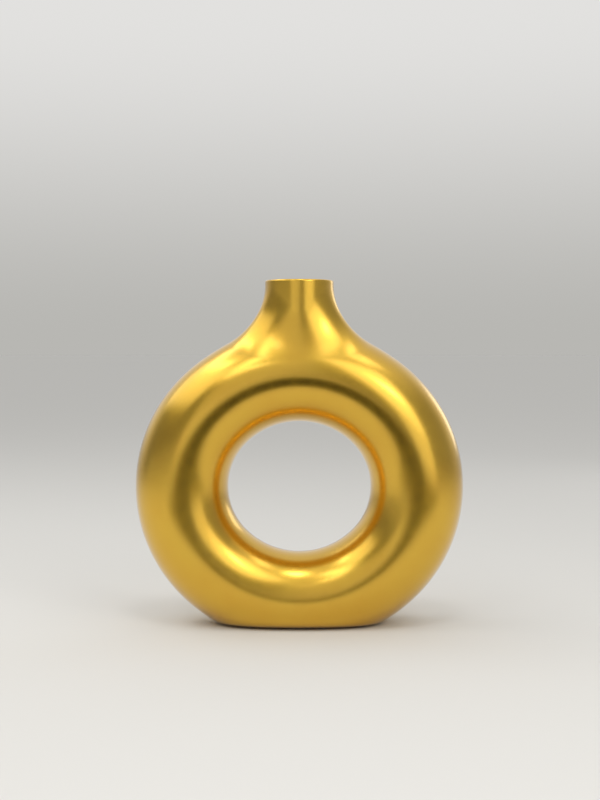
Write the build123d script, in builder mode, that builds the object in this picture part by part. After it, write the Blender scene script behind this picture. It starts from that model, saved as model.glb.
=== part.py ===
from build123d import *
import math
import os

# Donut vase: an upright oval ring of round pipe on a flattened foot, with a short neck at the top.
# Hollow sheet-metal work: two pressed half shells, a drawn neck collar, a foot plate and rubber feet.
# Millimetres. +Z is up, the wide side faces -Y, and the origin is under the middle of the foot.

# Ring, measured to the centre line of the pipe
ring_half_width = 71.8
ring_half_height = 68.3
pipe_radius = 28.2

# Foot: how deep the underside of the pipe is flattened, and the rounding of its edge
foot_depth = 13.3
foot_edge_radius = 8.0

# Neck: how far the rim stands above the ring, its outside radius, and the sweep into the shoulders
neck_rise = 29.3
rim_radius = 20.9
shoulder_radius = 40.0

# Sheet thickness, and the edge of the mouth, rolled in to a rounded bead
wall = 1.2
bead_width = 2.8
bead_height = 2.6
bead_round = 1.2

# Lap joints between the pressed pieces: the lip behind a seam, how far it reaches past the seam,
# how far it is rooted behind the seam, and the fit
lip_thickness = 1.0
lip_reach = 5.0
lip_root = 3.0
joint_clearance = 0.15

# Skirt of the collar below the end of the shoulder sweep
collar_skirt = 2.5

# Foot plate: width of the shell's flange round the opening, and how far the plate's rim laps over it
foot_flange = 5.0
plate_lap = 3.0

# Rubber feet stuck under the plate: their share of its depth, and their place on an oval drawn in
# from the plate's edge
bumper_share = 0.15
bumper_height = 1.0
bumper_edge_margin = 2.0
bumper_bearing = 50.0
bumper_chamfer = 0.25

# Spare length of the tools that only cut
cut_over = 20.0

# The oval centre line is four arcs that meet at 45 degrees
arc_bearing = math.radians(45)
arc_shift = (ring_half_width - ring_half_height) / (2 - 1 / math.sin(arc_bearing))
crown_radius = ring_half_height + arc_shift
side_radius = ring_half_width - arc_shift
arc_joint_x = arc_shift + side_radius * math.cos(arc_bearing)
arc_joint_z = side_radius * math.sin(arc_bearing)

# Heights
foot_z = bumper_height
ring_centre_z = foot_z + ring_half_height + pipe_radius - foot_depth
crown_z = ring_centre_z + ring_half_height
rim_z = crown_z + pipe_radius + neck_rise
bead_z = rim_z - bead_height

# The shoulder is the path of a ball that rolls round the neck on the pipe. It ends lowest at the front
# and rear, and the collar's seam lies below that.
ball_height = math.sqrt((pipe_radius + shoulder_radius) ** 2 - (rim_radius + shoulder_radius) ** 2)
shoulder_end_z = crown_z + ball_height * pipe_radius / (pipe_radius + shoulder_radius)
collar_seam_z = shoulder_end_z - collar_skirt
spigot_end_z = collar_seam_z - lip_reach

# The flat of the foot, inside its rounded edge, and the opening in it
crown_outside = crown_radius + pipe_radius
edge_drop = foot_depth + foot_edge_radius
flat_x = math.sqrt((crown_outside - foot_edge_radius) ** 2 - (crown_outside - edge_drop) ** 2)
flat_y = math.sqrt((pipe_radius - foot_edge_radius) ** 2 - (pipe_radius - edge_drop) ** 2)
opening_x = flat_x - foot_flange
opening_y = flat_y - foot_flange

# Depths below the outside at which the lips of the joints lie
lip_face = wall + joint_clearance
lip_back = lip_face + lip_thickness

seam_plane = Plane.XZ
collar_plane = Plane.XY.offset(collar_seam_z)


with BuildLine(Plane.XZ) as centre_line:
    ThreePointArc((arc_joint_x, -arc_joint_z), (ring_half_width, 0), (arc_joint_x, arc_joint_z))
    ThreePointArc((arc_joint_x, arc_joint_z), (0, ring_half_height), (-arc_joint_x, arc_joint_z))
    ThreePointArc((-arc_joint_x, arc_joint_z), (-ring_half_width, 0), (-arc_joint_x, -arc_joint_z))
    ThreePointArc((-arc_joint_x, -arc_joint_z), (0, -ring_half_height), (arc_joint_x, -arc_joint_z))
ring_path = centre_line.wire().moved(Location((0, 0, ring_centre_z)))


def half_vessel(inset):
    """Front half of the vase as one solid, drawn in by inset, with a neck that runs past the rim."""
    with BuildPart() as body:
        with BuildSketch(Plane(origin=ring_path @ 0, x_dir=(0, 1, 0), z_dir=ring_path % 0)):
            Circle(pipe_radius - inset)
        sweep(path=ring_path)
        with BuildSketch(Plane.XY.offset(crown_z)):
            Circle(rim_radius - inset)
        extrude(amount=rim_z - crown_z + cut_over)
        fillet(body.edges().filter_by(GeomType.BSPLINE), shoulder_radius + inset)
        split(bisect_by=Plane.XY.offset(foot_z + inset), keep=Keep.TOP)
        fillet(body.faces().sort_by(Axis.Z)[0].edges(), foot_edge_radius - inset)
        split(bisect_by=seam_plane, keep=Keep.TOP)
    return body.part


skin = half_vessel(0)
inside = half_vessel(wall)
lip_outer = half_vessel(lip_face)
lip_inner = half_vessel(lip_back)


# Front shell: the half of the ring towards the viewer, open at the seam, the collar and the foot
with BuildPart() as front_shell:
    add(skin)
    split(bisect_by=collar_plane, keep=Keep.BOTTOM)
    add(inside, mode=Mode.SUBTRACT)
    with BuildSketch(Plane.XY.offset(foot_z)):
        Ellipse(opening_x, opening_y)
    extrude(amount=wall, mode=Mode.SUBTRACT)
front_shell.part.label = "front_shell"


# Rear shell: the other half, made as a mirror image of a front one, with a joggled lip that reaches
# past the seam into the front shell. The lip stops short of the collar's spigot and the plate's rim.
with BuildPart() as spigot_room:
    add(inside)
    split(bisect_by=Plane.XY.offset(spigot_end_z - joint_clearance), keep=Keep.TOP)

with BuildPart() as seam_lip:
    add(lip_outer)
    split(bisect_by=seam_plane.offset(lip_reach), keep=Keep.BOTTOM)
    add(lip_inner, mode=Mode.SUBTRACT)
    add(spigot_room.part, mode=Mode.SUBTRACT)

with BuildPart() as past_root:
    add(inside)
    split(bisect_by=seam_plane.offset(lip_root), keep=Keep.TOP)

with BuildPart() as rear_shell:
    add(skin)
    split(bisect_by=collar_plane, keep=Keep.BOTTOM)
    add(lip_inner, mode=Mode.SUBTRACT)
    add(past_root.part, mode=Mode.SUBTRACT)
    add(spigot_room.part, mode=Mode.SUBTRACT)
    mirror(about=seam_plane, mode=Mode.REPLACE)
    add(seam_lip.part)
    with BuildSketch(Plane.XY.offset(foot_z)):
        Ellipse(opening_x, opening_y)
    extrude(amount=wall, mode=Mode.SUBTRACT)
    with BuildSketch(Plane.XY.offset(foot_z + wall)):
        Ellipse(opening_x + plate_lap + joint_clearance, opening_y + plate_lap + joint_clearance)
    extrude(amount=lip_back, mode=Mode.SUBTRACT)
rear_shell.part.label = "rear_shell"


# Neck collar: neck and shoulder, with a spigot that sits inside both shells and a beaded mouth
with BuildPart() as spigot:
    add(lip_outer)
    split(bisect_by=Plane.XY.offset(spigot_end_z), keep=Keep.TOP)
    split(bisect_by=collar_plane, keep=Keep.BOTTOM)

with BuildPart() as above_root:
    add(inside)
    split(bisect_by=collar_plane.offset(lip_root), keep=Keep.TOP)

with BuildPart() as neck_collar:
    add(skin)
    split(bisect_by=collar_plane, keep=Keep.TOP)
    split(bisect_by=Plane.XY.offset(bead_z), keep=Keep.BOTTOM)
    add(spigot.part)
    add(lip_inner, mode=Mode.SUBTRACT)
    add(above_root.part, mode=Mode.SUBTRACT)
    mirror(about=seam_plane)
    with BuildSketch(Plane.XZ) as bead:
        with Locations((rim_radius, rim_z)):
            Rectangle(bead_width, bead_height, align=(Align.MAX, Align.MAX))
        fillet(bead.vertices().group_by(Axis.Y)[-1], bead_round)
    revolve(axis=Axis.Z)
neck_collar.part.label = "neck_collar"


# Foot plate: a flush oval in the opening, with a wider rim that lies on the shells' flange
with BuildPart() as base_plate:
    with BuildSketch(Plane.XY.offset(foot_z)):
        Ellipse(opening_x - joint_clearance, opening_y - joint_clearance)
    extrude(amount=wall)
    with BuildSketch(Plane.XY.offset(foot_z + wall)):
        Ellipse(opening_x + plate_lap, opening_y + plate_lap)
    extrude(amount=wall)
base_plate.part.label = "base_plate"


os.makedirs("parts", exist_ok=True)
for piece in (front_shell, rear_shell, neck_collar, base_plate):
    export_step(piece.part, f"parts/{piece.part.label}.step")


# Rubber feet: four discs under the corners of the plate
bumper_radius = bumper_share * 2 * opening_y
bumper_inset = bumper_radius + bumper_edge_margin + joint_clearance
bumper_x = (opening_x - bumper_inset) * math.cos(math.radians(bumper_bearing))
bumper_y = (opening_y - bumper_inset) * math.sin(math.radians(bumper_bearing))
for depth_name, depth_side in (("front", -1), ("rear", 1)):
    for width_name, width_side in (("left", -1), ("right", 1)):
        with BuildPart() as bumper:
            with BuildSketch():
                with Locations((width_side * bumper_x, depth_side * bumper_y)):
                    Circle(bumper_radius)
            extrude(amount=bumper_height)
            chamfer(bumper.faces().sort_by(Axis.Z)[0].edges(), bumper_chamfer)
        bumper.part.label = f"rubber_foot_{depth_name}_{width_name}"
        export_step(bumper.part, f"parts/{bumper.part.label}.step")
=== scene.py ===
import math

import bpy
import numpy as np
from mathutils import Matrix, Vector


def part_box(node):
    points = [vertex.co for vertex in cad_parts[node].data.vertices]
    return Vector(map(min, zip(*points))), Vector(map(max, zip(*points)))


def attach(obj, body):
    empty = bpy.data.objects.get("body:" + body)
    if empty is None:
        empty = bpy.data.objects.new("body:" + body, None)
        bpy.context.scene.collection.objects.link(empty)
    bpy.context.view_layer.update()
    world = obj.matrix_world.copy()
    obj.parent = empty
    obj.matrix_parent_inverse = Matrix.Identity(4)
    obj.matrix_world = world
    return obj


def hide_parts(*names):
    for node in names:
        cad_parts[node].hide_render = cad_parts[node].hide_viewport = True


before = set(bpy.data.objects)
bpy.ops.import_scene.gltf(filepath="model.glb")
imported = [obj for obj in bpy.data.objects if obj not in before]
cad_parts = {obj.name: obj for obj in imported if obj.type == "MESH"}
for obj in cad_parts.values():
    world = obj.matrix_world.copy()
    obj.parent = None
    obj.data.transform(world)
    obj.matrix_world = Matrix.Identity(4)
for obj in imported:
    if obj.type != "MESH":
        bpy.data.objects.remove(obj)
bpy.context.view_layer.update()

bl_info = {
    "name": "Donut vase",
    "version": (1, 0, 0),
    "blender": (4, 5, 0),
    "location": "3D View > Sidebar > Vase",
    "description": "Dresses the packed donut vase: skin, neck, foot plate, rubber feet and a small studio",
    "category": "Object",
}

MM = 0.001

# What model.glb says: the boxes of the pieces that set the others
SHELL_LOW, SHELL_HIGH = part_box("front_shell")
_, COLLAR_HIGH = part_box("neck_collar")
PLATE_LOW, PLATE_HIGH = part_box("base_plate")

# Fineness of the meshes, in faces
SEAM_COLUMNS = 96
SIDE_COLUMNS = 96
FOOT_COLUMNS = 64
SHELL_ROWS = 48
FOOT_EDGE_ROWS = 8
FOOT_FLAT_ROWS = 2
SKIRT_ROWS = 16
SHOULDER_ROWS = 30
NECK_ROWS = 8
BEAD_ROWS = 6
PLATE_SIDES = 128
BUMPER_SIDES = 64

# Steps of the fine curves that azimuths are read from
FINE_STEPS = 40 * SEAM_COLUMNS

# How late the shoulder's sweep widens on the way to the front and rear
SWEEP_POWER = 3

# Points closer than this are one, and a face turned further from the skin's normal than this is a cut edge
WELD_GAP = 0.005 * MM
FACING_SHARE = 0.6

# Small forms: the plate's bevel, and the rubber feet's rounding, rim and dished underside
PLATE_BEVEL = 0.2 * MM
BUMPER_BEVEL = 0.25 * MM
BUMPER_RIM = 1.2 * MM
BUMPER_DISH_EDGE = 0.5 * MM
BUMPER_DISH_DEPTH = 0.25 * MM

# Edges sharper than these angles are bevelled on the plate, or shaded sharp on the plate and the feet
PLATE_BEVEL_ANGLE = math.radians(40)
PLATE_SHARP_ANGLE = math.radians(30)
BUMPER_SHARP_ANGLE = math.radians(35)

# The camera, fitted to the photograph: place in metres, tilt below level in degrees, lens in millimetres
CAMERA_PLACE = (0.0004, -0.793, 0.173)
CAMERA_TILT = 2.59
CAMERA_LENS = 58.5

# Soft boxes stand this far from the middle of the vase, in metres, and those below this elevation don't
# light the floor
LAMP_DISTANCE = 1.1
LOW_ELEVATION = math.radians(10)

# Soft boxes: name, bearing to the right of the camera and elevation in degrees, width and height in metres,
# and brightness
SOFT_BOXES = (
    ("key_right", 33, 30, 0.60, 0.76, 1.45),
    ("key_core", 37, 31, 0.16, 0.16, 5.0),
    ("low_right", 33, 3, 0.62, 0.24, 0.75),
    ("front_fill", -13, 20, 0.60, 0.80, 0.46),
    ("left_strip", -50, 3, 1.90, 0.20, 0.16),
    ("left_ceiling", -82, 43, 1.40, 0.50, 1.0),
    ("high_left", -115, 55, 0.40, 0.22, 1.9),
    ("left_core", -76, 56, 0.44, 0.12, 2.8),
    ("streak_left", -29, 46, 0.17, 0.42, 2.4),
    ("spot_left", -18, 38, 0.10, 0.10, 4.0),
    ("top_front", 5, 67, 0.20, 0.18, 8.0),
    ("high_right", 66, 60, 0.34, 0.22, 1.6),
    ("rim_right", 138, 13, 0.30, 0.36, 1.0),
)

# The floor's size, and the place and size of a dark card on it that shows only as a painted dark reflection
# in the metal, in metres
FLOOR_SIZE = 30.0
CARD_PLACE = (0.12, -1.06, 1 * MM)
CARD_SIZE = (0.80, 1.50)

# Where the room's shades turn into each other, along a direction's X, Z, Z and Y: left wall to right wall,
# walls to ceiling, low to high backdrop, and room to backdrop
WALLS_RANGE = (-0.2, 0.7)
CEILING_RANGE = (0.5, 0.85)
BACKDROP_RANGE = (0.0, 0.25)
BEHIND_RANGE = (0.1, 0.7)

UP = np.array((0.0, 0.0, 1.0))
SKIN_NORMAL = "skin_normal"


def linear(code):
    """Linear red, green and blue of an sRGB hex colour."""
    shares = [int(code[i:i + 2], 16) / 255 for i in (1, 3, 5)]
    return [c / 12.92 if c <= 0.04045 else ((c + 0.055) / 1.055) ** 2.4 for c in shares]


def length(name, description, default):
    """A length in the panel, in metres."""
    return bpy.props.FloatProperty(
        name=name, description=description, default=default, min=0.0, unit="LENGTH", precision=4
    )


def colour(name, description, code):
    """A colour in the panel, written as an sRGB hex value."""
    return bpy.props.FloatVectorProperty(
        name=name, description=description, default=linear(code), size=3, min=0.0, max=1.0, subtype="COLOR"
    )


class VaseSizes(bpy.types.PropertyGroup):
    """Sizes of the vase, in metres."""

    pipe_radius: length("Pipe radius", "Outside radius of the ring's pipe", 28.2 * MM)
    ring_half_width: length("Half width", "Middle of the ring to the pipe's centre line, across", 71.8 * MM)
    ring_half_height: length("Half height", "Middle of the ring to the pipe's centre line, up", 68.3 * MM)
    foot_depth: length("Foot depth", "How deep the underside of the pipe is flattened", 13.3 * MM)
    foot_edge_radius: length("Foot edge", "Rounding of the foot's edge", 8.0 * MM)
    foot_flange: length("Foot flange", "Width of the flange round the foot plate", 5.0 * MM)
    rim_radius: length("Rim radius", "Outside radius of the neck", 20.9 * MM)
    shoulder_radius: length("Shoulder radius", "Sweep from the neck into the ring's sides", 40.0 * MM)
    shoulder_front: length("Shoulder, front", "Sweep from the neck into the ring's front and rear", 75.0 * MM)
    shoulder_fill: length("Shoulder fill", "Filling of the hollow above the ring's sides", 1.0 * MM)
    wall: length("Wall", "Sheet thickness", 1.2 * MM)
    bead_width: length("Bead width", "Width of the rolled edge of the mouth", 2.8 * MM)
    bead_height: length("Bead height", "Height of the rolled edge of the mouth", 2.6 * MM)
    bead_round: length("Bead rounding", "Rounding of the rolled edge", 1.2 * MM)
    plate_lap: length("Plate lap", "How far the plate's rim lies on the shells' flange", 3.0 * MM)
    joint_clearance: length("Clearance", "Gap between the plate and the shells", 0.15 * MM)


class VaseColours(bpy.types.PropertyGroup):
    """Colours of the vase and of the studio."""

    gold_light: colour("Gold, light", "Lacquered gold where the film is thin", "#E6BC38")
    gold_deep: colour("Gold, deep", "Lacquered gold where the film is thick", "#DCAA28")
    plate_brass: colour("Foot plate", "Brushed brass of the foot plate", "#B79552")
    rubber: colour("Rubber", "Moulded rubber of the feet", "#1B1A18")
    floor: colour("Floor", "Matt floor", "#E0E0DF")
    # The dark card shows only in the metal's reflections, as painted shade of the room on the camera's side
    card: colour("Dark card", "Matt card on the floor below the camera", "#2C2C2C")
    warm_light: colour("Warm light", "Colour of the soft boxes", "#FFFCF7")
    studio_left: colour("Studio, left", "Left wall of the room", "#888888")
    studio_right: colour("Studio, right", "Right wall of the room", "#9E9E9E")
    studio_ceiling: colour("Studio ceiling", "Bright ceiling of the room", "#EAE8E3")
    backdrop_low: colour("Backdrop, low", "Background where it meets the floor", "#B8B7B3")
    backdrop_high: colour("Backdrop, high", "Background above the floor", "#E2E1DF")


class VaseShape:
    """Points and normals of the vase's skin, worked out from the panel's sizes.

    The ring is an oval of four arcs that meet at 45 degrees. A bearing goes round the ring, and a turn goes
    round the pipe from the ring's outer edge, nought, to the hole's edge, pi.
    """

    def __init__(self, sizes):
        self.pipe = sizes.pipe_radius
        self.edge = sizes.foot_edge_radius
        self.wall = sizes.wall
        self.neck = sizes.rim_radius
        self.sweep = sizes.shoulder_radius
        self.front_sweep = sizes.shoulder_front
        self.fill = sizes.shoulder_fill
        self.bead_width = sizes.bead_width
        self.bead_round = sizes.bead_round
        self.foot_z = SHELL_LOW.z
        self.seam_z = SHELL_HIGH.z
        self.rim_z = COLLAR_HIGH.z
        self.bead_z = self.rim_z - sizes.bead_height
        self.centre_z = self.foot_z + sizes.ring_half_height + self.pipe - sizes.foot_depth
        self.shift = (sizes.ring_half_width - sizes.ring_half_height) / (2 - math.sqrt(2))
        self.crown_radius = sizes.ring_half_height + self.shift
        self.side_radius = sizes.ring_half_width - self.shift
        self.crown_centre_z = self.centre_z - self.shift
        self.flat_x, self.flat_y = self.foot_flat(sizes.foot_depth)
        self.opening_x = self.flat_x - sizes.foot_flange
        self.opening_y = self.flat_y - sizes.foot_flange
        self.seam_azimuths, self.seam_bearings = self.seam_curve()
        self.bearings = self.shell_bearings()

    def foot_flat(self, depth):
        """Half width and half depth of the flat of the foot, inside its rounded edge."""
        outside = self.crown_radius + self.pipe
        drop = depth + self.edge
        return [math.sqrt((r - self.edge) ** 2 - (r - drop) ** 2) for r in (outside, self.pipe)]

    def arc(self, bearing):
        """Centre offset, centre height and radius of the ring's arc at a bearing."""
        across, up = np.cos(bearing), np.sin(bearing)
        on_side = np.abs(across) > np.abs(up)
        centre_x = np.where(on_side, np.sign(across) * self.shift, 0.0)
        centre_z = self.centre_z - np.where(on_side, 0.0, np.sign(up) * self.shift)
        return centre_x, centre_z, np.where(on_side, self.side_radius, self.crown_radius)

    def on_pipe(self, bearing, turn, side, inset=0.0):
        """Points and outward normals on the pipe, drawn in by inset. Side is -1 in front and 1 behind."""
        bearing, turn, side = np.broadcast_arrays(bearing, turn, side)
        centre_x, centre_z, radius = self.arc(bearing)
        reach = radius + (self.pipe - inset) * np.cos(turn)
        depth = side * (self.pipe - inset) * np.sin(turn)
        points = (centre_x + reach * np.cos(bearing), depth, centre_z + reach * np.sin(bearing))
        normals = (np.cos(turn) * np.cos(bearing), side * np.sin(turn), np.cos(turn) * np.sin(bearing))
        return np.stack(points, -1), np.stack(normals, -1)

    def turn_at(self, bearing, height, inset=0.0):
        """Turn at which the pipe, drawn in by inset, crosses a height, and nought where it doesn't."""
        _, centre_z, radius = self.arc(bearing)
        share = ((height - centre_z) / np.sin(bearing) - radius) / (self.pipe - inset)
        return np.arccos(np.clip(share, -1.0, 1.0))

    def first_turn(self, bearing):
        """Turn at which the shell begins: at the collar's seam, the outer edge or the foot."""
        up = np.sin(bearing) > 0
        return np.where(up, self.turn_at(bearing, self.seam_z),
                        self.turn_at(bearing, self.foot_z + self.edge, self.edge))

    def seam_curve(self):
        """Azimuths along half of the collar's seam, evenly from right to left, and their bearings."""
        outside = self.crown_radius + self.pipe
        corner = math.asin((self.seam_z - self.crown_centre_z) / outside)
        shares = (1 - np.cos(np.linspace(0, np.pi, FINE_STEPS))) / 2
        bearings = corner + shares * (np.pi - 2 * corner)
        points, _ = self.on_pipe(bearings, self.turn_at(bearings, self.seam_z), 1)
        azimuths = np.linspace(0, np.pi, SEAM_COLUMNS + 1)
        return azimuths, np.interp(azimuths, np.arctan2(points[:, 1], points[:, 0]), bearings)

    def shell_bearings(self):
        """Bearings of a shell's columns, once round: along the seam, down, along the foot and up again."""
        outside = self.crown_radius + self.pipe - self.edge
        foot_centre_z = self.centre_z + self.shift
        tip = math.asin((foot_centre_z - self.foot_z - self.edge) / outside)
        right = self.seam_bearings[0]
        left_side = np.linspace(np.pi - right, np.pi + tip, SIDE_COLUMNS + 1)
        foot = np.pi + tip + (1 - np.cos(np.linspace(0, np.pi, FOOT_COLUMNS + 1))) / 2 * (np.pi - 2 * tip)
        right_side = np.linspace(2 * np.pi - tip, 2 * np.pi + right, SIDE_COLUMNS + 1)
        return np.concatenate((self.seam_bearings, left_side[1:], foot[1:], right_side[1:]))

    def shell(self, side):
        """Rows of a half ring, from its outer edge to the hole."""
        start = self.first_turn(self.bearings)
        share = np.linspace(0, 1, SHELL_ROWS + 1)[:, None]
        return self.on_pipe(self.bearings, start + share * (np.pi - start), side)

    def foot(self, side):
        """Rows of the foot: from the oval opening out along the flat, then up round its edge."""
        first = SEAM_COLUMNS + SIDE_COLUMNS
        bearing = self.bearings[first:first + FOOT_COLUMNS + 1]
        ball, contact = self.on_pipe(bearing, self.first_turn(bearing), side, self.edge)
        share = np.linspace(0, 1, FOOT_EDGE_ROWS + 1)[:, None, None]
        edge_normals = swing(contact, -UP, share)
        edge = ball + self.edge * edge_normals
        around = np.arctan2(ball[:, 1] / self.flat_y, ball[:, 0] / self.flat_x)
        rim = np.stack((self.opening_x * np.cos(around), self.opening_y * np.sin(around),
                        np.full_like(around, self.foot_z)), -1)
        share = np.linspace(0, 1, FOOT_FLAT_ROWS + 1)[1:, None, None]
        flat = edge[-1] + share * (rim - edge[-1])
        flat_normals = np.broadcast_to(-UP, flat.shape)
        return np.concatenate((edge, flat))[::-1], np.concatenate((edge_normals, flat_normals))[::-1]

    def rolling_ball(self, azimuth):
        """Radius and centre of a ball that rolls round the neck on the pipe and grows at the front and rear.

        The bearing and the turn at which it touches the pipe come with it.
        """
        radius = self.sweep + (self.front_sweep - self.sweep) * np.abs(np.sin(azimuth)) ** SWEEP_POWER
        reach = self.neck + radius
        across, depth = reach * np.cos(azimuth), reach * np.sin(azimuth)
        over = np.sqrt((self.pipe + radius) ** 2 - depth ** 2)
        up = np.sqrt((self.crown_radius + over) ** 2 - across ** 2)
        centre = np.stack((across, depth, self.crown_centre_z + up), -1)
        return radius, centre, np.arctan2(up, across), np.arccos(over / (self.pipe + radius))

    def ball_azimuths(self, azimuths):
        """Azimuths of the balls that touch the pipe at these azimuths."""
        fine = np.linspace(0, 2 * np.pi, FINE_STEPS + 1)
        _, _, bearing, turn = self.rolling_ball(fine)
        touch, _ = self.on_pipe(bearing, turn, np.where(fine <= np.pi, 1.0, -1.0))
        return np.interp(azimuths, np.unwrap(np.arctan2(touch[:, 1], touch[:, 0])), fine)

    def collar(self):
        """Rows of the collar: skirt, shoulder, neck and bead outside, then down the inside to the start."""
        seam_azimuth = np.linspace(0, 2 * np.pi, 2 * SEAM_COLUMNS + 1)
        side = np.where(seam_azimuth <= np.pi, 1.0, -1.0)
        azimuth = self.ball_azimuths(seam_azimuth)
        radial = np.stack((np.cos(azimuth), np.sin(azimuth), np.zeros_like(azimuth)), -1)

        # The shoulder is the path of the rolling ball, and the skirt goes up to it from the seam
        sweep, ball, contact_bearing, contact_turn = self.rolling_ball(azimuth)
        half_round = np.pi - np.abs(np.pi - seam_azimuth)
        seam_bearing = np.interp(half_round, self.seam_azimuths, self.seam_bearings)
        seam_turn = self.turn_at(seam_bearing, self.seam_z)
        share = np.linspace(0, 1, SKIRT_ROWS + 1)[:, None]
        skirt, skirt_normals = self.on_pipe(seam_bearing + share * (contact_bearing - seam_bearing),
                                            seam_turn + share * (contact_turn - seam_turn), side)

        share = np.linspace(0, 1, SHOULDER_ROWS + 1)[1:, None, None]
        shoulder_normals = swing(skirt_normals[-1], radial, share)
        shoulder = ball - sweep[:, None] * shoulder_normals

        share = np.linspace(0, 1, NECK_ROWS + 1)[1:, None, None]
        neck = shoulder[-1] + share * (self.bead_z - shoulder[-1][:, 2:]) * UP
        neck_normals = np.broadcast_to(radial, neck.shape)

        outside = np.concatenate((skirt, shoulder, neck))
        outside_normals = np.concatenate((skirt_normals, shoulder_normals, neck_normals))
        outside, outside_normals = self.filled(outside, outside_normals, azimuth)
        bead, bead_normals = self.bead(radial)
        inside = (outside - self.wall * outside_normals)[::-1]
        points = np.concatenate((outside, bead, inside, outside[:1]))
        normals = np.concatenate((outside_normals, bead_normals, -outside_normals[::-1], outside_normals[:1]))
        return points, normals

    def filled(self, points, normals, azimuth):
        """The collar's outside with the hollow above the ring's sides filled, so that the outline flows."""
        steps = np.linalg.norm(np.diff(points, axis=0), axis=2)
        way = np.concatenate((np.zeros_like(steps[:1]), np.cumsum(steps, axis=0)))
        share = np.minimum(way / way[SKIRT_ROWS + SHOULDER_ROWS], 1.0)
        fill = self.fill * np.sin(np.pi * share) ** 2 * np.cos(azimuth) ** 2
        moved = points + fill[:, :, None] * normals
        tilted = normals + grid_normals(moved) - grid_normals(points)
        tilted[0] = normals[0]
        return moved, tilted / np.linalg.norm(tilted, axis=2, keepdims=True)

    def bead(self, radial):
        """Rows of the rolled edge of the mouth: over its two roundings and down its inner face."""
        quarter = np.linspace(0, np.pi / 2, BEAD_ROWS + 1)
        outer = self.neck - self.bead_round
        inner = self.neck - self.bead_width + self.bead_round
        top = self.rim_z - self.bead_round
        bend = self.bead_round
        profile = [(outer + bend * math.cos(a), top + bend * math.sin(a), a) for a in quarter]
        profile += [(inner - bend * math.sin(a), top + bend * math.cos(a), a + np.pi / 2) for a in quarter]
        profile.append((self.neck - self.bead_width, self.bead_z, np.pi))
        points = np.stack([r * radial + z * UP for r, z, _ in profile])
        normals = np.stack([math.cos(a) * radial + math.sin(a) * UP for _, _, a in profile])
        return points, normals


def grid_normals(points):
    """Normals of a grid of points, from the differences along its rows and columns."""
    normals = np.cross(np.gradient(points, axis=1), np.gradient(points, axis=0))
    return normals / np.linalg.norm(normals, axis=2, keepdims=True)


def swing(start, end, share):
    """Directions on the way from start to end, evenly by angle."""
    end = np.broadcast_to(end, start.shape)
    angle = np.arccos(np.clip((start * end).sum(-1, keepdims=True), -1.0, 1.0))
    return (np.sin((1 - share) * angle) * start + np.sin(share * angle) * end) / np.sin(angle)


def select_only(*objects):
    """Select these objects alone, with the first one active."""
    bpy.ops.object.select_all(action="DESELECT")
    for item in objects:
        item.select_set(True)
    bpy.context.view_layer.objects.active = objects[0]


def lay_grid(name, rows):
    """A grid laid on rows of points, which keeps their normals for the shading."""
    points, normals = rows
    bpy.ops.object.select_all(action="DESELECT")
    bpy.ops.mesh.primitive_grid_add(x_subdivisions=points.shape[1] - 1, y_subdivisions=points.shape[0] - 1)
    grid = bpy.context.object
    grid.name = name
    grid.data.vertices.foreach_set("co", points.astype(np.float32).ravel())
    kept = grid.data.attributes.new(SKIN_NORMAL, "FLOAT_VECTOR", "POINT")
    kept.data.foreach_set("vector", normals.astype(np.float32).ravel())
    return grid


def vectors(items, key, width=3):
    """Values of one kind as rows of an array."""
    values = np.zeros(len(items) * width, np.float32)
    items.foreach_get(key, values)
    return values.reshape(-1, width)


def weld(piece, *others):
    """Join the grids, close their shared edges and turn their faces the way the skin faces."""
    select_only(piece, *others)
    if others:
        bpy.ops.object.join()
    bpy.ops.object.mode_set(mode="EDIT")
    bpy.ops.mesh.select_all(action="SELECT")
    bpy.ops.mesh.remove_doubles(threshold=WELD_GAP)
    bpy.ops.object.mode_set(mode="OBJECT")
    mesh = piece.data
    skin = vectors(mesh.attributes[SKIN_NORMAL].data, "vector")
    first = np.array([face.vertices[0] for face in mesh.polygons])
    if (vectors(mesh.polygons, "normal") * skin[first]).sum() < 0:
        bpy.ops.object.mode_set(mode="EDIT")
        bpy.ops.mesh.select_all(action="SELECT")
        bpy.ops.mesh.flip_normals()
        bpy.ops.object.mode_set(mode="OBJECT")
    return piece


def shade_by_skin(piece):
    """Shade with the skin's true normals, so that no seam between pieces shows, and cut edges flat."""
    bpy.ops.object.shade_smooth()
    mesh = piece.data
    skin = vectors(mesh.attributes[SKIN_NORMAL].data, "vector")
    corner_vertices = vectors(mesh.loops, "vertex_index", 1).astype(int).ravel()
    sides = vectors(mesh.polygons, "loop_total", 1).astype(int).ravel()
    faces = np.repeat(vectors(mesh.polygons, "normal"), sides, axis=0)
    corners = skin[corner_vertices]
    facing = (faces * corners).sum(1, keepdims=True)
    corners = np.where(np.abs(facing) > FACING_SHARE, np.sign(facing) * corners, faces)
    mesh.normals_split_custom_set(corners.tolist())
    mesh.attributes.remove(mesh.attributes[SKIN_NORMAL])


def apply_modifier(piece, kind, **settings):
    """Add a modifier with its settings and apply it."""
    select_only(piece)
    modifier = piece.modifiers.new(kind.title(), kind)
    for key, value in settings.items():
        setattr(modifier, key, value)
    bpy.ops.object.modifier_apply(modifier=modifier.name)


def hand_over(piece, node, material):
    """Put a finished piece in the place of its CAD node."""
    piece.data.name = piece.name
    piece.data.materials.clear()
    piece.data.materials.append(material)
    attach(piece, "root")
    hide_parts(node)


def add_node(tree, kind, inputs=None, **settings):
    """Add one node with its settings, and set or link its inputs."""
    made = tree.nodes.new(kind)
    for key, value in settings.items():
        setattr(made, key, value)
    for socket, value in (inputs or {}).items():
        if isinstance(value, bpy.types.NodeSocket):
            tree.links.new(value, made.inputs[socket])
        else:
            made.inputs[socket].default_value = value
    return made


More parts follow.
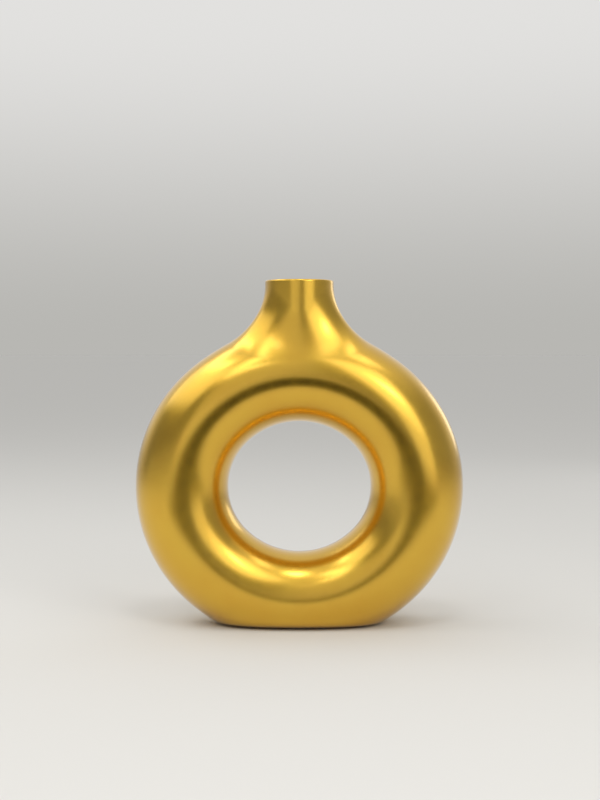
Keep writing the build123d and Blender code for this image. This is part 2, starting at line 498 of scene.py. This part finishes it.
def new_material(name):
    """An empty node material, its tree and its output node."""
    material = bpy.data.materials.new(name)
    material.use_nodes = True
    material.node_tree.nodes.clear()
    return material, material.node_tree, add_node(material.node_tree, "ShaderNodeOutputMaterial")


def per_metre(size_mm):
    """Pattern scale for a feature of this size."""
    return 1 / (size_mm * MM)


def opaque(rgb):
    """A colour with full cover, as a socket takes it."""
    return (*rgb, 1.0)


def satin_gold(colours):
    """Brass sheet, polished and sprayed with gold lacquer.

    A warm metal with soft, slightly cloudy reflections under a clear film that keeps thin sharp glints.
    """
    existing = bpy.data.materials.get("brass_satin_gold_lacquer")
    if existing:
        return existing
    material, tree, output = new_material("brass_satin_gold_lacquer")
    place = add_node(tree, "ShaderNodeTexCoord").outputs["Object"]
    cloud = add_node(tree, "ShaderNodeTexNoise", {"Vector": place, "Scale": per_metre(26), "Detail": 3.0})
    tint = add_node(tree, "ShaderNodeMix", {
        "Factor": cloud.outputs["Fac"],
        "A": opaque(colours.gold_light),
        "B": opaque(colours.gold_deep),
    }, data_type="RGBA")
    mottle = add_node(tree, "ShaderNodeTexNoise", {"Vector": place, "Scale": per_metre(7), "Detail": 4.0})
    roughness = add_node(tree, "ShaderNodeMapRange", {
        "Value": mottle.outputs["Fac"], "From Min": 0.3, "From Max": 0.7, "To Min": 0.23, "To Max": 0.26,
    })
    wave = add_node(tree, "ShaderNodeTexNoise", {"Vector": place, "Scale": per_metre(16), "Detail": 1.0})
    hammered = add_node(tree, "ShaderNodeBump", {
        "Height": wave.outputs["Fac"], "Strength": 0.04, "Distance": 0.25 * MM,
    })
    grain = add_node(tree, "ShaderNodeTexNoise", {"Vector": place, "Scale": per_metre(0.9), "Detail": 2.0})
    grained = add_node(tree, "ShaderNodeBump", {
        "Height": grain.outputs["Fac"],
        "Strength": 0.02,
        "Distance": 0.02 * MM,
        "Normal": hammered.outputs["Normal"],
    })
    shader = add_node(tree, "ShaderNodeBsdfPrincipled", {
        "Base Color": tint.outputs["Result"],
        "Metallic": 1.0,
        "Roughness": roughness.outputs["Result"],
        "Coat Weight": 1.0,
        "Coat Roughness": 0.20,
        "Normal": grained.outputs["Normal"],
    })
    tree.links.new(shader.outputs["BSDF"], output.inputs["Surface"])
    return material


def brushed_brass(colours):
    """Brass plate, brushed along its length and left bare.

    Fine scratches along it spread the reflection the short way, and handling leaves duller patches.
    """
    material, tree, output = new_material("brass_brushed_plate")
    place = add_node(tree, "ShaderNodeTexCoord").outputs["Object"]
    along = add_node(tree, "ShaderNodeMapping", {"Vector": place, "Scale": (0.04, 1.0, 1.0)})
    scratch = add_node(tree, "ShaderNodeTexNoise", {
        "Vector": along.outputs["Vector"], "Scale": per_metre(0.5), "Detail": 3.0,
    })
    patch = add_node(tree, "ShaderNodeTexNoise", {"Vector": place, "Scale": per_metre(12), "Detail": 4.0})
    tint = add_node(tree, "ShaderNodeMix", {
        "Factor": patch.outputs["Fac"],
        "A": opaque(colours.plate_brass),
        "B": opaque([0.72 * c for c in colours.plate_brass]),
    }, data_type="RGBA")
    roughness = add_node(tree, "ShaderNodeMapRange", {
        "Value": scratch.outputs["Fac"], "From Min": 0.3, "From Max": 0.7, "To Min": 0.28, "To Max": 0.48,
    })
    bump = add_node(tree, "ShaderNodeBump", {
        "Height": scratch.outputs["Fac"], "Strength": 0.3, "Distance": 0.02 * MM,
    })
    shader = add_node(tree, "ShaderNodeBsdfPrincipled", {
        "Base Color": tint.outputs["Result"],
        "Metallic": 1.0,
        "Roughness": roughness.outputs["Result"],
        "Normal": bump.outputs["Normal"],
    })
    tree.links.new(shader.outputs["BSDF"], output.inputs["Surface"])
    return material


def moulded_rubber(colours):
    """Black rubber, moulded with a fine matt grain that turns grey where dust settles."""
    material, tree, output = new_material("rubber_moulded_matt")
    place = add_node(tree, "ShaderNodeTexCoord").outputs["Object"]
    grain = add_node(tree, "ShaderNodeTexNoise", {"Vector": place, "Scale": per_metre(0.4), "Detail": 2.0})
    dust = add_node(tree, "ShaderNodeTexNoise", {"Vector": place, "Scale": per_metre(3), "Detail": 3.0})
    tint = add_node(tree, "ShaderNodeMix", {
        "Factor": dust.outputs["Fac"],
        "A": opaque(colours.rubber),
        "B": opaque([1.6 * c for c in colours.rubber]),
    }, data_type="RGBA")
    bump = add_node(tree, "ShaderNodeBump", {
        "Height": grain.outputs["Fac"], "Strength": 0.35, "Distance": 0.05 * MM,
    })
    shader = add_node(tree, "ShaderNodeBsdfPrincipled", {
        "Base Color": tint.outputs["Result"],
        "Roughness": 0.75,
        "IOR": 1.52,
        "Normal": bump.outputs["Normal"],
    })
    tree.links.new(shader.outputs["BSDF"], output.inputs["Surface"])
    return material


def matt_paint(name, rgb):
    """Matt paint, rolled on: an even colour with no sheen."""
    material, tree, output = new_material(name)
    shader = add_node(tree, "ShaderNodeBsdfPrincipled", {
        "Base Color": opaque(rgb), "Roughness": 0.9, "Specular IOR Level": 0.0,
    })
    tree.links.new(shader.outputs["BSDF"], output.inputs["Surface"])
    return material


class VASE_OT_shells(bpy.types.Operator):
    """Make the front and rear shells of the ring"""

    bl_idname = "vase.shells"
    bl_label = "Shells"

    def execute(self, context):
        shape = VaseShape(context.scene.vase_sizes)
        for node, side in (("front_shell", -1), ("rear_shell", 1)):
            half_ring = lay_grid(f"{node}_skin", shape.shell(side))
            weld(half_ring, lay_grid(f"{node}_foot", shape.foot(side)))
            apply_modifier(half_ring, "SOLIDIFY", thickness=shape.wall, offset=-1.0)
            shade_by_skin(half_ring)
            hand_over(half_ring, node, satin_gold(context.scene.vase_colours))
        return {"FINISHED"}


class VASE_OT_collar(bpy.types.Operator):
    """Make the neck, with its shoulder and the rolled edge of the mouth"""

    bl_idname = "vase.collar"
    bl_label = "Neck collar"

    def execute(self, context):
        shape = VaseShape(context.scene.vase_sizes)
        collar = weld(lay_grid("neck_collar_skin", shape.collar()))
        shade_by_skin(collar)
        hand_over(collar, "neck_collar", satin_gold(context.scene.vase_colours))
        return {"FINISHED"}


class VASE_OT_foot_plate(bpy.types.Operator):
    """Make the stepped oval plate that closes the foot"""

    bl_idname = "vase.foot_plate"
    bl_label = "Foot plate"

    def execute(self, context):
        sizes = context.scene.vase_sizes
        rim_x, rim_y = PLATE_HIGH.x, PLATE_HIGH.y
        step = sizes.plate_lap + sizes.joint_clearance
        face_x, face_y = rim_x - step, rim_y - step
        rim_height = PLATE_HIGH.z - PLATE_LOW.z - sizes.wall
        bpy.ops.object.select_all(action="DESELECT")
        bpy.ops.mesh.primitive_circle_add(
            vertices=PLATE_SIDES, radius=1, fill_type="NGON", location=(0, 0, PLATE_LOW.z)
        )
        plate = bpy.context.object
        plate.name = "base_plate_oval"
        bpy.ops.object.mode_set(mode="EDIT")
        bpy.ops.transform.resize(value=(face_x, face_y, 1))
        bpy.ops.mesh.extrude_region_move(TRANSFORM_OT_translate={"value": (0, 0, sizes.wall)})
        bpy.ops.mesh.extrude_region_move(TRANSFORM_OT_translate={"value": (0, 0, 0)})
        bpy.ops.transform.resize(value=(rim_x / face_x, rim_y / face_y, 1))
        bpy.ops.mesh.extrude_region_move(TRANSFORM_OT_translate={"value": (0, 0, rim_height)})
        bpy.ops.mesh.select_all(action="SELECT")
        bpy.ops.mesh.normals_make_consistent(inside=False)
        bpy.ops.object.mode_set(mode="OBJECT")
        bpy.ops.object.transform_apply(location=True, rotation=True, scale=True)
        apply_modifier(
            plate, "BEVEL", width=PLATE_BEVEL, segments=2, limit_method="ANGLE", angle_limit=PLATE_BEVEL_ANGLE
        )
        bpy.ops.object.shade_smooth_by_angle(angle=PLATE_SHARP_ANGLE)
        hand_over(plate, "base_plate", brushed_brass(context.scene.vase_colours))
        return {"FINISHED"}


class VASE_OT_rubber_feet(bpy.types.Operator):
    """Make the four rubber feet under the plate"""

    bl_idname = "vase.rubber_feet"
    bl_label = "Rubber feet"

    def execute(self, context):
        material = moulded_rubber(context.scene.vase_colours)
        for node in sorted(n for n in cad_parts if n.startswith("rubber_foot")):
            low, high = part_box(node)
            centre = (low + high) / 2
            bpy.ops.object.select_all(action="DESELECT")
            bpy.ops.mesh.primitive_cylinder_add(
                vertices=BUMPER_SIDES, radius=(high.x - low.x) / 2, depth=high.z - low.z, location=centre
            )
            bumper = bpy.context.object
            bumper.name = f"{node}_disc"
            bpy.ops.object.transform_apply(location=True, rotation=True, scale=True)
            apply_modifier(bumper, "BEVEL", width=BUMPER_BEVEL, segments=4, limit_method="ANGLE")
            select_only(bumper)
            bpy.ops.object.mode_set(mode="EDIT")
            bpy.ops.mesh.select_all(action="DESELECT")
            bpy.ops.object.mode_set(mode="OBJECT")
            under = min(bumper.data.polygons, key=lambda face: face.center.z + face.normal.z)
            under.select = True
            bpy.ops.object.mode_set(mode="EDIT")
            bpy.ops.mesh.inset(thickness=BUMPER_RIM, depth=0)
            bpy.ops.mesh.inset(thickness=BUMPER_DISH_EDGE, depth=-BUMPER_DISH_DEPTH)
            bpy.ops.object.mode_set(mode="OBJECT")
            bpy.ops.object.shade_smooth_by_angle(angle=BUMPER_SHARP_ANGLE)
            hand_over(bumper, node, material)
        return {"FINISHED"}


def soft_box(name, bearing, elevation, width, height, brightness, rgb):
    """A rectangular soft light that faces the vase. Bearing is to the right of the camera, in degrees."""
    bearing, elevation = math.radians(bearing), math.radians(elevation)
    outward = Vector((math.sin(bearing) * math.cos(elevation), -math.cos(bearing) * math.cos(elevation),
                      math.sin(elevation)))
    middle = Vector((0.0, 0.0, COLLAR_HIGH.z / 2))
    bpy.ops.object.light_add(type="AREA", location=middle + LAMP_DISTANCE * outward)
    lamp = bpy.context.object
    lamp.name = name
    lamp.rotation_euler = (-outward).to_track_quat("-Z", "Y").to_euler()
    lamp.data.shape = "RECTANGLE"
    lamp.data.size = width
    lamp.data.size_y = height
    lamp.data.energy = brightness * math.pi * width * height
    lamp.data.color = rgb
    lamp.visible_camera = False
    # A box just above the floor would leave a hard-edged pool of light on it
    lamp.visible_diffuse = elevation > LOW_ELEVATION


def fade(tree, value, limits, first, second):
    """Colour that goes from the first to the second as a value crosses its limits."""
    factor = add_node(tree, "ShaderNodeMapRange", {
        "Value": value, "From Min": limits[0], "From Max": limits[1],
    }, interpolation_type="SMOOTHSTEP")
    mix = add_node(tree, "ShaderNodeMix", {
        "Factor": factor.outputs["Result"], "A": first, "B": second,
    }, data_type="RGBA")
    return mix.outputs["Result"]


def studio_world(colours):
    """The room: pale behind the vase and above it, and greyer on the camera's side."""
    world = bpy.context.scene.world or bpy.data.worlds.new("studio")
    world.use_nodes = True
    tree = world.node_tree
    tree.nodes.clear()
    heading = add_node(tree, "ShaderNodeTexCoord").outputs["Generated"]
    way = add_node(tree, "ShaderNodeSeparateXYZ", {"Vector": heading}).outputs
    left, right = opaque(colours.studio_left), opaque(colours.studio_right)
    low, high = opaque(colours.backdrop_low), opaque(colours.backdrop_high)
    walls = fade(tree, way["X"], WALLS_RANGE, left, right)
    room = fade(tree, way["Z"], CEILING_RANGE, walls, opaque(colours.studio_ceiling))
    backdrop = fade(tree, way["Z"], BACKDROP_RANGE, low, high)
    shade = fade(tree, way["Y"], BEHIND_RANGE, room, backdrop)
    sky = add_node(tree, "ShaderNodeBackground", {"Color": shade, "Strength": 1.0})
    output = add_node(tree, "ShaderNodeOutputWorld")
    tree.links.new(sky.outputs["Background"], output.inputs["Surface"])
    return world


class VASE_OT_stage(bpy.types.Operator):
    """Set the floor, the soft light and the camera"""

    bl_idname = "vase.stage"
    bl_label = "Stage"

    def execute(self, context):
        scene = context.scene
        colours = scene.vase_colours
        scene.view_settings.view_transform = "Standard"

        bpy.ops.object.select_all(action="DESELECT")
        bpy.ops.mesh.primitive_plane_add(size=FLOOR_SIZE, location=(0, 0, 0))
        floor = context.object
        floor.name = "floor"
        floor.data.materials.append(matt_paint("paint_matt_floor", colours.floor))

        # A dark card on the floor below the camera gives the metal something dark to mirror. It is hidden
        # from the camera, from diffuse light and from shadows, so it shows only as a painted dark reflection
        # in the metal, standing in for shade on the camera's side
        bpy.ops.mesh.primitive_plane_add(size=1.0, location=CARD_PLACE)
        card = context.object
        card.name = "dark_reflection_card"
        bpy.ops.transform.resize(value=(*CARD_SIZE, 1.0))
        bpy.ops.object.transform_apply(location=True, rotation=True, scale=True)
        card.data.materials.append(matt_paint("paint_matt_reflection_card", colours.card))
        card.visible_camera = False
        card.visible_diffuse = False
        card.visible_shadow = False

        for box in SOFT_BOXES:
            soft_box(*box, colours.warm_light)
        scene.world = studio_world(colours)

        bpy.ops.object.camera_add(location=CAMERA_PLACE, rotation=(math.radians(90 - CAMERA_TILT), 0.0, 0.0))
        scene.camera = context.object
        scene.camera.data.lens = CAMERA_LENS
        return {"FINISHED"}


class VASE_PT_panel(bpy.types.Panel):
    """Sizes, colours and steps of the vase"""

    bl_idname = "VASE_PT_panel"
    bl_label = "Donut vase"
    bl_space_type = "VIEW_3D"
    bl_region_type = "UI"
    bl_category = "Vase"

    def draw(self, context):
        for group in (context.scene.vase_sizes, context.scene.vase_colours):
            column = self.layout.column(align=True)
            for key in group.bl_rna.properties.keys():
                if key not in ("rna_type", "name"):
                    column.prop(group, key)
        for step in STEPS:
            self.layout.operator(step.bl_idname)


STEPS = (VASE_OT_shells, VASE_OT_collar, VASE_OT_foot_plate, VASE_OT_rubber_feet, VASE_OT_stage)
CLASSES = (VaseSizes, VaseColours, *STEPS, VASE_PT_panel)


def register():
    for item in CLASSES:
        bpy.utils.register_class(item)
    bpy.types.Scene.vase_sizes = bpy.props.PointerProperty(type=VaseSizes)
    bpy.types.Scene.vase_colours = bpy.props.PointerProperty(type=VaseColours)


def unregister():
    del bpy.types.Scene.vase_colours
    del bpy.types.Scene.vase_sizes
    for item in reversed(CLASSES):
        bpy.utils.unregister_class(item)


def main():
    register()
    bpy.ops.vase.shells()
    bpy.ops.vase.collar()
    bpy.ops.vase.foot_plate()
    bpy.ops.vase.rubber_feet()
    bpy.ops.vase.stage()


if __name__ == "__main__":
    main()
